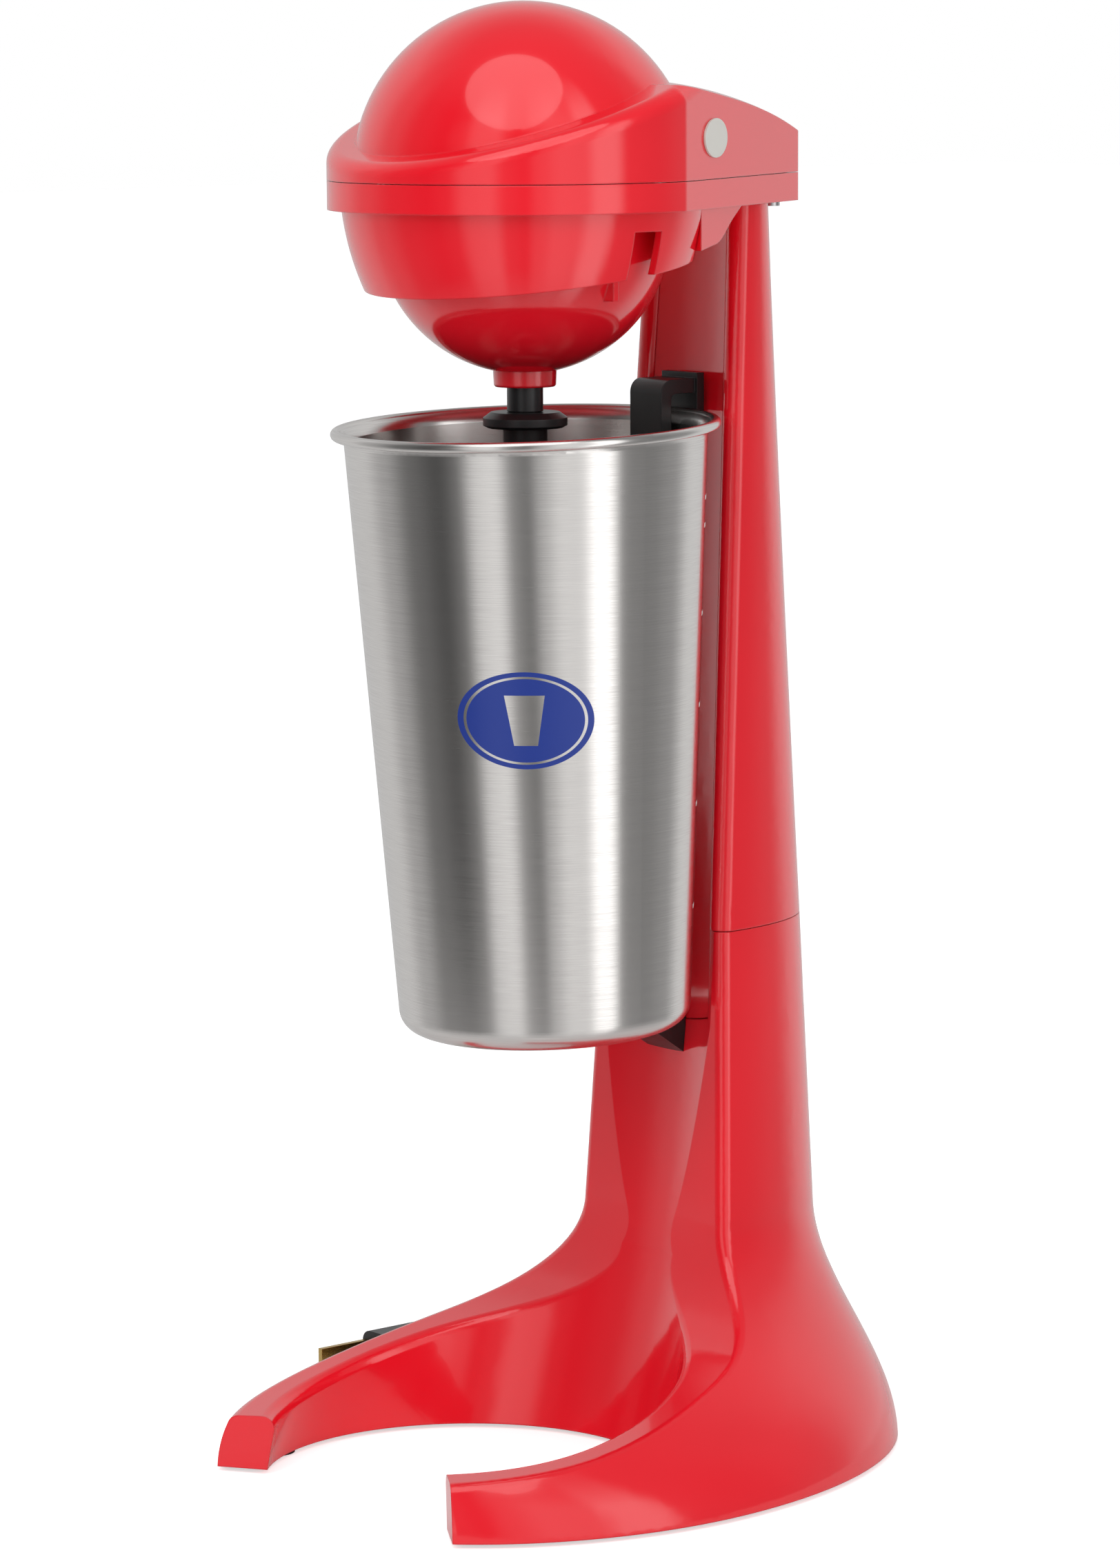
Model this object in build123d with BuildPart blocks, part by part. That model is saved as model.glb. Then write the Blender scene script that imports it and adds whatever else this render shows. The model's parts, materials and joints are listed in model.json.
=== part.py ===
from build123d import *
import os
from math import cos, pi, radians, sin, sqrt

# Milkshake mixer: red shell base and column, dome head with the motor, black
# agitator, and a steel cup that stands on a rest and sits under a hook.
# Millimetres. +Z up, spindle axis at x = y = 0, bench at z = 0, column at +Y.

# ---------------------------------------------------------------- driving sizes
WALL = 2.6                 # moulded shell thickness
GAP = 0.15                 # fit between two fixed shells
RUN = 0.05                 # radial running clearance of a shaft

SKIRT_Z = 1.2              # underside of the base skirt above the bench
FLARE_TOP = 60.0           # height where the flared skirt has become the column
JOINT_Z = 135.0            # parting line between base and upper column
TONGUE_Z = 110.0           # lower edge of the front panel on the centreline
COLUMN_TOP = 318.2
LIP_R = 3.5                # rounding of the two front edges of the column

BAND_BOTTOM = 318.3
SEAM_Z = 325.4             # parting line of the head
DOME_R = 42.1
DOME_Z = 326.9
BOWL_R = 36.5
BOWL_Z = 314.0
HEAD_FRONT_R = 48.5
HEAD_REAR_Y = 83.0

RIM_Z = 264.1
RIM_R = 47.2               # to the centre of the rolled bead
BEAD_R = 1.3
CUP_TOP_R = 45.2
CUP_BOTTOM_R = 36.5
CUP_H = 151.0
CUP_WALL = 0.8
CUP_TILT = 2.0             # the cup leans back on its rest

DISC_Z = 137.0
FLANGE_Z = 266.5
SHAFT_R = 2.5
HEX_FLATS = 7.0            # drive hexagon between coupling and agitator

FOOT_SPOTS = [(53, -42), (-53, -42), (40, 70), (-40, 70)]
SCREW_SPOTS = [(56, -15), (-56, -15), (52, 52), (-52, 52)]
NECK_SPOTS = [(8.5, 65), (-8.5, 65)]
MOUNT_SPOTS = [(43.0, 6), (-43.0, 6), (0, -43.2)]
COVER_SPOTS = [(6.5, 76.5), (-6.5, 76.5)]
REST_SCREW_X = (-3.5, 3.5)
REST_SCREW_Z = 106.5
CORD_SPOT = Vector(-44.5, 84.5, 9.5)
CORD_WAY = Vector(-0.71, 0.704, 0)


def mix(a, b, t):
    return a + (b - a) * t


def flare(z):
    """1 at the bench, 0 from FLARE_TOP up: how much of the footprint is left."""
    if z >= FLARE_TOP:
        return 0.0
    return 0.5 * (1 + cos(pi * z / FLARE_TOP))


# ---------------------------------------------------------------- column outline
def lip_x(z):
    """Centre of the lip rounding, off the middle plane."""
    if z > JOINT_Z:
        return mix(20.5, 15.2, (z - JOINT_Z) / (COLUMN_TOP - JOINT_Z))
    return mix(24.4, 20.5, (z - FLARE_TOP) / (JOINT_Z - FLARE_TOP))


def lip_y(z):
    """Centre of the lip rounding, behind the spindle axis."""
    if z > JOINT_Z:
        return mix(47.3, 58.4, (z - JOINT_Z) / (COLUMN_TOP - JOINT_Z))
    return mix(43.8, 47.3, (z - FLARE_TOP) / (JOINT_Z - FLARE_TOP))


def rear_y(z):
    if z > JOINT_Z:
        return mix(86.6, 73.8, (z - JOINT_Z) / (COLUMN_TOP - JOINT_Z))
    return mix(90.5, 86.6, (z - FLARE_TOP) / (JOINT_Z - FLARE_TOP))


def floor_y(z):
    """Middle of the concave front wall, continued down into the base opening."""
    if z > TONGUE_Z:
        return 47.0 + 0.054 * (z - TONGUE_Z)
    if z > 50:
        return mix(40.0, 47.0, (z - 50) / (TONGUE_Z - 50))
    return 27.1 + 0.258 * z


def column_outline(z, inset=0.0):
    """D section: half ellipse behind, two round lips and a hollow front."""
    a = lip_x(z) + LIP_R - inset
    yc = lip_y(z)
    rear = rear_y(z) - inset
    r = LIP_R - inset if inset < LIP_R - 1 else 1.0
    xc = a - r
    front = floor_y(z) + inset
    ci = r * sin(radians(60))
    with BuildSketch(Plane.XY.offset(z)) as outline:
        with BuildLine():
            EllipticalCenterArc((0, yc), a, rear - yc, arc_size=180)
            ThreePointArc((-a, yc), (-xc - r * sin(radians(15)), yc - r * cos(radians(15))),
                          (-xc + ci, yc - r * cos(radians(60))))
            ThreePointArc((-xc + ci, yc - r * cos(radians(60))), (0, front),
                          (xc - ci, yc - r * cos(radians(60))))
            ThreePointArc((xc - ci, yc - r * cos(radians(60))),
                          (xc + r * sin(radians(15)), yc - r * cos(radians(15))), (a, yc))
        make_face()
    return outline.sketch


# ---------------------------------------------------------------- base outline
def base_outline(z, inset=0.0):
    """Two half ellipses: the footprint at the bench, the column's flanks above."""
    f = flare(z)
    zc = max(z, FLARE_TOP)
    centre = mix(lip_y(zc), 5.0, f)
    a = mix(lip_x(zc) + LIP_R, 74.9, f) - inset
    rear = mix(rear_y(zc), 105.7, f) - inset
    front = centre + 85.0
    with BuildSketch(Plane.XY.offset(z)) as outline:
        with BuildLine():
            EllipticalCenterArc((0, centre), a, rear - centre, arc_size=180)
            EllipticalCenterArc((0, centre), a, front, start_angle=180, arc_size=180)
        make_face()
    return outline.sketch


def base_side(inset=0.0):
    """Side view of the base: low legs in front, rising into the column."""
    lip_foot = (lip_y(FLARE_TOP) - LIP_R + inset, FLARE_TOP)
    lip_top = (lip_y(JOINT_Z) - LIP_R + inset, JOINT_Z)
    with BuildSketch(Plane.YZ) as side:
        with BuildLine():
            crest = Spline((-65.4 + inset, 14.6 - inset), (-30, 18.0 - inset), (10, 27.0 - inset),
                           (30 + 0.5 * inset, 35.0 - inset), lip_foot,
                           tangents=((1, 0.06), (lip_top[0] - lip_foot[0], JOINT_Z - FLARE_TOP)))
            Polyline(crest @ 1, lip_top, (130, JOINT_Z), (130, -5), (-65.4 + inset, -5), crest @ 0)
        make_face()
    return side.sketch


def disc_sketch(z, radius, y=0.0):
    with BuildSketch(Plane.XY.offset(z)) as disc:
        with Locations((0, y)):
            Circle(radius)
    return disc.sketch


def opening(top, radius=50.0, bottom=-6.0):
    """Leaning round cutter for the space in front of the column and between the legs."""
    levels = [z for z in (bottom, 50.0, TONGUE_Z) if z < top] + [top]
    with BuildPart() as cutter:
        for low, high in zip(levels, levels[1:]):
            loft([disc_sketch(z, radius, floor_y(z) - 50.0) for z in (low, high)])
    return cutter.part


def tip_cutter(margin=0.0):
    """What lies in front of the two slanting ends of the legs."""
    inner = Vector(36.3, -57.3)
    along = Vector(50.0, -66.3) - inner
    start = inner - along * 1.2 + Vector(-0.54, 0.84) * margin
    end = inner + along * 1.6 + Vector(-0.54, 0.84) * margin
    with BuildPart() as cutter:
        with BuildSketch(Plane.XY.offset(-2)):
            Polygon((start.X, start.Y), (end.X, end.Y), (end.X, -90), (0, -90), (0, start.Y), align=None)
            mirror(about=Plane.YZ)
        extrude(amount=40)
    return cutter.part


def save(piece, name):
    piece.part.label = name
    export_step(piece.part, f"parts/{name}.step")


def cylinder_at(x, y, z_low, z_high, radius, mode=Mode.ADD):
    with Locations((x, y, z_low)):
        Cylinder(radius, z_high - z_low, align=(Align.CENTER, Align.CENTER, Align.MIN), mode=mode)


def box_between(low, high, mode=Mode.ADD):
    with Locations(tuple((a + b) / 2 for a, b in zip(low, high))):
        Box(*[b - a for a, b in zip(low, high)], mode=mode)


def nearest(edges, *points):
    """The edge closest to each of the points."""
    return [edges.sort_by_distance(point)[0] for point in points]


os.makedirs("parts", exist_ok=True)

# ================================================================ base
PLATE_LOW = 1.9
PLATE_HIGH = 3.9


def base_body(inset=0.0):
    with BuildPart() as body:
        loft([base_outline(z, inset) for z in range(0, 61, 10)])
        loft([base_outline(FLARE_TOP, inset), base_outline(JOINT_Z, inset)])
        extrude(base_side(inset), amount=100, both=True, mode=Mode.INTERSECT)
        add(opening(JOINT_Z + 1, 50.0 + inset), mode=Mode.SUBTRACT)
    return body.part


def panel_prism(gap=0.0):
    """Everything that lies between the two lips, above the arched tongue line."""
    half = [lip_x(z) - 3.1 - gap for z in (TONGUE_Z, COLUMN_TOP)]
    with BuildPart() as prism:
        with BuildSketch(Plane.XZ):
            with BuildLine():
                low = ThreePointArc((-half[0], TONGUE_Z + 2.4 + gap), (0, TONGUE_Z + gap),
                                    (half[0], TONGUE_Z + 2.4 + gap))
                Polyline(low @ 1, (half[1], COLUMN_TOP - gap), (-half[1], COLUMN_TOP - gap), low @ 0)
            make_face()
        extrude(amount=-64)
    return prism.part


base_cavity = base_body(WALL)

with BuildPart() as base_bosses:
    for x, y in SCREW_SPOTS:
        cylinder_at(x, y, PLATE_HIGH, 40, 3.4)
    add(base_cavity, mode=Mode.INTERSECT)
    for x, y in SCREW_SPOTS:
        cylinder_at(x, y, PLATE_HIGH, 13, 1.5, Mode.SUBTRACT)

with BuildPart() as base_foot:
    add(base_body())
    fillet(nearest(base_foot.edges(), (46.7, -65.4, 7), (-46.7, -65.4, 7)), 5.5)
    fillet(nearest(base_foot.edges(), (57, 0, 25), (-57, 0, 25), (47, 0, 24), (-47, 0, 24)), 3.0)
    add(tip_cutter(), mode=Mode.SUBTRACT)
    add(base_cavity - tip_cutter(WALL), mode=Mode.SUBTRACT)
    add(panel_prism(), mode=Mode.SUBTRACT)
    add(base_bosses.part)
    with Locations(Plane(origin=CORD_SPOT, z_dir=CORD_WAY)):
        Cylinder(4.2, 16, mode=Mode.SUBTRACT)
    for x in REST_SCREW_X:
        with Locations(Plane(origin=(x, 47, REST_SCREW_Z), z_dir=(0, 1, 0))):
            Cylinder(1.0, 12, mode=Mode.SUBTRACT)
    split(bisect_by=Plane.XY.offset(SKIRT_Z))
save(base_foot, "base_foot")


with BuildPart() as base_bottom_plate:
    extrude(base_outline(0, WALL + 1.0), amount=PLATE_HIGH)
    cylinder_at(0, floor_y(0) - 50.0, 0, PLATE_HIGH, 50 + WALL + 1.7, Mode.SUBTRACT)
    box_between((-90, -120, -1), (90, -58.5, 9), Mode.SUBTRACT)
    add(tip_cutter(WALL + 1.0), mode=Mode.SUBTRACT)
    split(bisect_by=Plane.XY.offset(PLATE_LOW))
    for x, y in FOOT_SPOTS:
        cylinder_at(x, y, 0, 9, 2.0, Mode.SUBTRACT)
    for x, y in SCREW_SPOTS:
        cylinder_at(x, y, 0, 9, 1.6, Mode.SUBTRACT)
save(base_bottom_plate, "base_bottom_plate")

with BuildPart() as rubber_feet:
    for x, y in FOOT_SPOTS:
        cylinder_at(x, y, 0, SKIRT_Z - 0.1, 5.2)
        cylinder_at(x, y, SKIRT_Z - 0.1, PLATE_LOW - 0.1, 3.4)
        cylinder_at(x, y, PLATE_LOW - 0.1, PLATE_HIGH + 1, 1.9)
save(rubber_feet, "rubber_feet")

with BuildPart() as base_screws:
    for x, y in SCREW_SPOTS:
        cylinder_at(x, y, 0.6, PLATE_LOW - 0.05, 2.8)
        cylinder_at(x, y, PLATE_LOW - 0.05, 12.5, 1.45)
save(base_screws, "base_screws")

# ================================================================ column
REST_TOP = 114.1


def column_body(low, high, inset=0.0):
    with BuildPart() as body:
        loft([column_outline(z, inset) for z in (low, high)])
    return body.part


column_skin = column_body(JOINT_Z, COLUMN_TOP)
column_cavity = column_body(JOINT_Z, COLUMN_TOP, WALL)

with BuildPart() as column_upper:
    add(column_skin)
    add(column_cavity, mode=Mode.SUBTRACT)
    add(column_body(COLUMN_TOP - 2.6, COLUMN_TOP, WALL - 0.1))
    add(panel_prism(), mode=Mode.SUBTRACT)
    box_between((-5, 62.5, 310), (5, 69.5, 320), Mode.SUBTRACT)
    for x, y in NECK_SPOTS:
        cylinder_at(x, y, 310, 320, 1.2, Mode.SUBTRACT)
    split(bisect_by=Plane.XY.offset(JOINT_Z + 0.2))
save(column_upper, "column_upper")

with BuildPart() as column_sleeve:
    # spigot inside the joint that lines the two column shells up, clear of the front lips
    add(column_body(JOINT_Z - 12, JOINT_Z + 12, WALL + 0.5))
    add(column_body(JOINT_Z - 13, JOINT_Z + 13, WALL + 2.5), mode=Mode.SUBTRACT)
    box_between((-30, 30, JOINT_Z - 13), (30, 56, JOINT_Z + 13), Mode.SUBTRACT)
    add(panel_prism(-1.0), mode=Mode.SUBTRACT)
save(column_sleeve, "column_sleeve")

with BuildPart() as column_front_panel:
    # one straight moulding from the tongue to the head
    add(column_body(TONGUE_Z, COLUMN_TOP))
    add(column_body(TONGUE_Z, COLUMN_TOP, WALL), mode=Mode.SUBTRACT)
    add(panel_prism(GAP), mode=Mode.INTERSECT)
    box_between((-3.2, 40, 262), (3.2, 70, 273), Mode.SUBTRACT)
save(column_front_panel, "column_front_panel")


# ================================================================ cup rest and hook
with BuildPart() as cup_rest:
    with BuildSketch(Plane.YZ):
        Polygon((46.3, 101.4), (46.3, REST_TOP + 0.4), (33.0, REST_TOP), (33.0, 110.3), align=None)
    extrude(amount=7, both=True)
    add(opening(150.0, 50.0 - 0.02), mode=Mode.INTERSECT)
    for x in REST_SCREW_X:
        with Locations(Plane(origin=(x, 47, REST_SCREW_Z), z_dir=(0, 1, 0))):
            Cylinder(1.0, 12, mode=Mode.SUBTRACT)
save(cup_rest, "cup_rest")

with BuildPart() as cup_rest_screws:
    for x in REST_SCREW_X:
        with Locations(Plane(origin=(x, 42.5, REST_SCREW_Z), z_dir=(0, 1, 0))):
            Cylinder(0.95, 7.4, align=(Align.CENTER, Align.CENTER, Align.MIN))
        with Locations(Plane(origin=(x, 49.9, REST_SCREW_Z), z_dir=(0, 1, 0))):
            Cylinder(2.2, 1.6, align=(Align.CENTER, Align.CENTER, Align.MIN))
save(cup_rest_screws, "cup_rest_screws")

HOOK_LIFT = 2.0
HOOK_TOP = 274.2
with BuildPart() as interlock_hook:
    with BuildSketch(Plane.YZ):
        with BuildLine():
            Polyline((42.9, 259), (42.9, 270.6), (50.9, 270.6), (50.9, 266), (53.3, 266),
                     (53.3, 275.6), (50.9, 275.6), (50.9, HOOK_TOP), (43.1, HOOK_TOP))
            ThreePointArc((43.1, HOOK_TOP), (40.62, 273.2), (39.6, 270.7))
            Line((39.6, 270.7), (39.6, 259))
            Line((39.6, 259), (42.9, 259))
        make_face()
    extrude(amount=6.0, both=True)
    box_between((-6.7, 50.9, 266), (6.7, 53.3, 275.6))
    box_between((-3.0, 53.3, 264.5), (3.0, 60.4, 270.5))
    box_between((-5.6, 60.4, 262), (5.6, 63.6, 274))
    fillet(nearest(interlock_hook.edges(), (0, 42.9, 270.6)), 1.4)
save(interlock_hook, "interlock_hook")

with BuildPart() as interlock_guide:
    box_between((-8.6, 59.6, 256), (8.6, 65.6, 292))
    box_between((-5.8, 60.2, 260), (5.8, 63.8, 288), Mode.SUBTRACT)
    box_between((-3.3, 59, 260), (3.3, 61, 276), Mode.SUBTRACT)
save(interlock_guide, "interlock_guide")

SPRING_LOW = 274.1
SPRING_HIGH = 287.9
with BuildPart() as interlock_spring:
    with BuildLine():
        coil = Helix(pitch=(SPRING_HIGH - SPRING_LOW - 0.8) / 6, height=SPRING_HIGH - SPRING_LOW - 0.8,
                     radius=1.2, center=(-3.6, 62, SPRING_LOW + 0.4))
    with BuildSketch(Plane(origin=coil @ 0, z_dir=coil % 0)):
        Circle(0.3)
    sweep(is_frenet=True)
save(interlock_spring, "interlock_spring")

with BuildPart() as microswitch:
    box_between((0.2, 60.4, 279.2), (5.6, 63.6, 287.8))
    cylinder_at(3, 62, 270, 283.4, 1.15, Mode.SUBTRACT)
save(microswitch, "microswitch")

with BuildPart() as microswitch_plunger:
    cylinder_at(3, 62, 274.05, 281.2, 1.05)
save(microswitch_plunger, "microswitch_plunger")

# ================================================================ mixing cup
cup_up = Vector(0, -sin(radians(CUP_TILT)), cos(radians(CUP_TILT)))
cup_plane = Plane(origin=(0, 0.1, RIM_Z), x_dir=(1, 0, 0), z_dir=(0, -cup_up.Z, cup_up.Y))
CORNER_R = 5.5


def cup_profile(inset):
    """Half section of the cup's body, from the axis out, bottom at the left."""
    bottom = -CUP_H + inset
    low_r = CUP_BOTTOM_R - inset
    top_r = CUP_TOP_R - inset
    r = CORNER_R - inset
    corner = 0.7071 * r
    wall_x = low_r + (top_r - low_r) * r / CUP_H
    with BuildLine() as line:
        Line((0, bottom), (wall_x - r, bottom))
        ThreePointArc((wall_x - r, bottom), (wall_x - r + corner, bottom + r - corner), (wall_x, bottom + r))
        Line((wall_x, bottom + r), (top_r, -2.4))
    return line.line


with BuildPart() as mixing_cup:
    with BuildSketch(cup_plane):
        with BuildLine():
            outer = add(cup_profile(0))
            inner = add(cup_profile(CUP_WALL))
            Line((0, -CUP_H), (0, -CUP_H + CUP_WALL))
            RadiusArc((CUP_TOP_R, -2.4), (RIM_R, 0.4), 4.0)
            RadiusArc((CUP_TOP_R - CUP_WALL, -2.4), (RIM_R, BEAD_R - 0.05), 4.8)
            Line((RIM_R, 0.4), (RIM_R, BEAD_R - 0.05))
        make_face()
        with Locations((RIM_R, 0)):
            Circle(BEAD_R)
    revolve(axis=Axis((0, 0.1, RIM_Z), cup_up))
save(mixing_cup, "mixing_cup")

# ================================================================ agitator
ROD_R = 4.0
with BuildPart() as agitator_rod:
    with BuildSketch(Plane.XZ):
        with BuildLine():
            Polyline((0, DISC_Z + 0.5), (2.4, DISC_Z + 0.5), (2.4, DISC_Z + 4), (ROD_R, DISC_Z + 4),
                     (ROD_R, 240), (5.5, 246), (5.5, 265.2), (9.4, 264.2), (10.5, 264.8),
                     (10.5, FLANGE_Z + 0.2), (8.6, FLANGE_Z + 1.6), (0, FLANGE_Z + 1.6),
                     (0, DISC_Z + 0.5))
        make_face()
    revolve(axis=Axis.Z)
    with BuildSketch(Plane.XY.offset(FLANGE_Z + 1.6)):
        RegularPolygon(HEX_FLATS / 2 + RUN, 6, major_radius=False)
    extrude(amount=-11.5, mode=Mode.SUBTRACT)
save(agitator_rod, "agitator_rod")

with BuildPart() as mixing_disc:
    cylinder_at(0, 0, DISC_Z, DISC_Z + 3.4, 12)
    cylinder_at(0, 0, DISC_Z + 3.4, DISC_Z + 3.95, 5)
    cylinder_at(0, 0, DISC_Z - 1, DISC_Z + 5, 2.42, Mode.SUBTRACT)
    with PolarLocations(13.6, 6):
        Cylinder(3.4, 30, mode=Mode.SUBTRACT)
    split(bisect_by=Plane.XY.offset(DISC_Z))
save(mixing_disc, "mixing_disc")


# ================================================================ head shells
CREASE = (47.0, 12.0)
REAR_X = 10.5
FRONT_SLOPE = 0.31
CREST_Z = 348.6            # height of the shoulder over the crease
BUCKET_TOP_R = 45.2
BUCKET_LOW_R = 38.2
BUCKET_LOW_Z = 295.5
SPLIT_Y = 25.9             # face between bucket and neck fairing
BOLT_X = 23.5


def head_plan(z, inset=0.0):
    """Round front about the spindle, soft crease, sides running in to a narrow tail."""
    with BuildSketch(Plane.XY.offset(z)) as plan:
        with BuildLine():
            ThreePointArc(CREASE, (0, -HEAD_FRONT_R), (-CREASE[0], CREASE[1]))
            Polyline((-CREASE[0], CREASE[1]), (-REAR_X, HEAD_REAR_Y), (REAR_X, HEAD_REAR_Y), CREASE)
        make_face()
        fillet(plan.vertices().sort_by(Axis.Y)[-2:], 4.0)
        fillet(plan.vertices().sort_by(Axis.X)[-1:] + plan.vertices().sort_by(Axis.X)[:1], 5.0)
        if inset:
            offset(amount=-inset, mode=Mode.REPLACE)
    return plan.sketch


def crown(y, half, side_z, ridge_z, inset=0.0):
    """Upright section of the tail: square below, arched over the top."""
    with BuildSketch(Plane(origin=(0, y, 0), x_dir=(1, 0, 0), z_dir=(0, -1, 0))) as section:
        with BuildLine():
            arch = Bezier((-half, side_z - inset), (0, 2 * ridge_z - side_z - inset), (half, side_z - inset))
            Polyline(arch @ 1, (half, 300), (-half, 300), arch @ 0)
        make_face()
    return section.sketch


def cover_body(inset=0.0):
    """Shoulder with its tail and the dome, above the seam."""
    front_y = -HEAD_FRONT_R - 3
    front_z = CREST_Z - FRONT_SLOPE * (CREASE[1] - front_y) - inset
    with BuildPart() as roof:
        with BuildSketch(Plane.YZ):
            Polygon((front_y, 300), (front_y, front_z), (CREASE[1], CREST_Z - inset), (CREASE[1], 300), align=None)
        extrude(amount=60, both=True)
        loft([crown(12, 50, CREST_Z, CREST_Z, inset), crown(36, 38, 344.6, 349.2, inset),
              crown(60, 26, 340.2, 344.9, inset), crown(84, 13, 334.2, 336.2, inset)])
    with BuildPart() as body:
        extrude(head_plan(SEAM_Z, inset), amount=60)
        add(roof.part, mode=Mode.INTERSECT)
        with Locations((0, 0, DOME_Z)):
            Sphere(DOME_R - inset)
        split(bisect_by=Plane.XY.offset(SEAM_Z))
    return body.part


switch_up = Vector(0, sin(radians(16)), cos(radians(16)))
switch_plane = Plane(origin=(0, 56.5, 345.6), x_dir=(1, 0, 0), z_dir=switch_up)

with BuildPart() as cover_bosses:
    for x, y in COVER_SPOTS:
        cylinder_at(x, y, 320.7, 350, 2.8)
    add(cover_body(WALL), mode=Mode.INTERSECT)
    for x, y in COVER_SPOTS:
        cylinder_at(x, y, 320, 332, 1.2, Mode.SUBTRACT)

with BuildPart() as head_upper_cover:
    add(cover_body())
    fillet(nearest(head_upper_cover.edges(), (0, -HEAD_FRONT_R, 330)), 4.0)
    add(cover_body(WALL), mode=Mode.SUBTRACT)
    add(cover_bosses.part)
    with BuildSketch(switch_plane.offset(-6)):
        Rectangle(16, 22)
    extrude(amount=5)
    with BuildSketch(switch_plane.offset(-3.2)):
        RectangleRounded(11, 17, 1.5)
    extrude(amount=12, mode=Mode.SUBTRACT)
    with BuildSketch(switch_plane.offset(-9)):
        Rectangle(3.4, 11.5)
    extrude(amount=9, mode=Mode.SUBTRACT)
    split(bisect_by=Plane.XY.offset(SEAM_Z + 0.15))
save(head_upper_cover, "head_upper_cover")


def plate_screws(name, spots, z_low, z_high, shank, head):
    """A group of equal screws that point down, heads on top."""
    with BuildPart() as group:
        for x, y in spots:
            cylinder_at(x, y, z_low, z_high, shank)
            cylinder_at(x, y, z_high, z_high + 1.6, head)
    save(group, name)


FLOOR_Z = BAND_BOTTOM + 2.2
POST_TOP = 322.0



def bucket_outline(inset=0.0, low=BUCKET_LOW_Z):
    with BuildSketch(Plane.XZ) as half:
        with BuildLine():
            side = ThreePointArc((BUCKET_TOP_R - inset, FLOOR_Z), (42.7 - inset, 307), (BUCKET_LOW_R - inset, low))
            Polyline(side @ 1, (0, low), (0, FLOOR_Z), side @ 0)
        make_face()
    return half.sketch


with BuildPart() as head_lower_housing:
    extrude(head_plan(BAND_BOTTOM), amount=SEAM_Z - BAND_BOTTOM)
    extrude(head_plan(FLOOR_Z, WALL), amount=20, mode=Mode.SUBTRACT)
    revolve(bucket_outline(), axis=Axis.Z)
    with BuildSketch(Plane.YZ):
        # sloping lower edge and the flat rear face of the bucket
        Polygon((-60, 280), (-60, 295.0), (SPLIT_Y, 305.3), (SPLIT_Y, BAND_BOTTOM), (90, BAND_BOTTOM),
                (90, 280), align=None)
    extrude(amount=60, both=True, mode=Mode.SUBTRACT)
    revolve(bucket_outline(WALL - 0.2), axis=Axis.Z, mode=Mode.SUBTRACT)
    box_between((-60, -2, 280), (60, 7, 313.6), Mode.SUBTRACT)
    box_between((-6, 62, 310), (6, 70, 322), Mode.SUBTRACT)
    for x, y in MOUNT_SPOTS:
        cylinder_at(x, y, BAND_BOTTOM, POST_TOP, 2.4)
        cylinder_at(x, y, BAND_BOTTOM + 0.8, POST_TOP + 1, 1.2, Mode.SUBTRACT)
    for x, y in NECK_SPOTS + COVER_SPOTS:
        cylinder_at(x, y, BAND_BOTTOM - 1, FLOOR_Z + 1, 1.2, Mode.SUBTRACT)
save(head_lower_housing, "head_lower_housing")

plate_screws("neck_screws", NECK_SPOTS, 312, FLOOR_Z + 0.05, 1.15, 2.2)

with BuildPart() as cover_screws:
    for x, y in COVER_SPOTS:
        cylinder_at(x, y, BAND_BOTTOM - 1.4, BAND_BOTTOM - 0.05, 2.2)
        cylinder_at(x, y, BAND_BOTTOM - 0.05, 330, 1.15)
save(cover_screws, "cover_screws")

with BuildPart() as neck_fairing:
    extrude(head_plan(300, 3.0), amount=BAND_BOTTOM - 300 - 0.05)
    with BuildSketch(Plane.YZ):
        with BuildLine():
            low = Line((SPLIT_Y + 0.25, 308.0), (35, 309.2))
            bend = Spline(low @ 1, (43, 313.4), (51.5, BAND_BOTTOM), tangents=(low % 1, (0.86, 0.5)))
            Polyline(bend @ 1, (SPLIT_Y + 0.25, BAND_BOTTOM), low @ 0)
        make_face()
    extrude(amount=60, both=True, mode=Mode.INTERSECT)
    with BuildSketch(Plane.XY.offset(BAND_BOTTOM)):
        Rectangle(2 * (24 - WALL), 12)
    cylinder_at(0, 0, 290, 330, BUCKET_TOP_R - WALL, Mode.SUBTRACT)
save(neck_fairing, "neck_fairing")

SHELF_Z = BOWL_Z + 2.0
with BuildPart() as motor_bowl_cover:
    with BuildSketch(Plane.XZ):
        with BuildLine():
            low = BOWL_Z - BOWL_R
            outside = RadiusArc((0, low), (BOWL_R, BOWL_Z), -BOWL_R)
            Polyline(outside @ 1, (41.1, BOWL_Z), (41.1, SHELF_Z), (BOWL_R - 2.4, SHELF_Z), (BOWL_R - 2.4, BOWL_Z))
            inside = RadiusArc((BOWL_R - 2.4, BOWL_Z), (0, low + 2.4), BOWL_R - 2.4)
            Line(inside @ 1, outside @ 0)
        make_face()
    revolve(axis=Axis.Z)
    for side in (-1, 1):
        with Locations((side * 33.2, -0.9, 301.4)):
            Box(5.2, 1.8, 9.4)
    cylinder_at(0, 0, 270, 290, 8.3, Mode.SUBTRACT)
save(motor_bowl_cover, "motor_bowl_cover")

with BuildPart() as spindle_collar:
    with BuildSketch(Plane.XZ):
        Polygon((5.6, 274.4), (7.4, 274.4), (7.75, 274.8), (8.2, 284.0), (11.5, 284.0), (11.5, 286.0), (5.6, 286.0),
                align=None)
    revolve(axis=Axis.Z)
save(spindle_collar, "spindle_collar")

# ================================================================ motor
STACK_LOW = 313.0
STACK_HIGH = 333.0
STATOR_R = 27.0
BORE_R = 16.5

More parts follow.
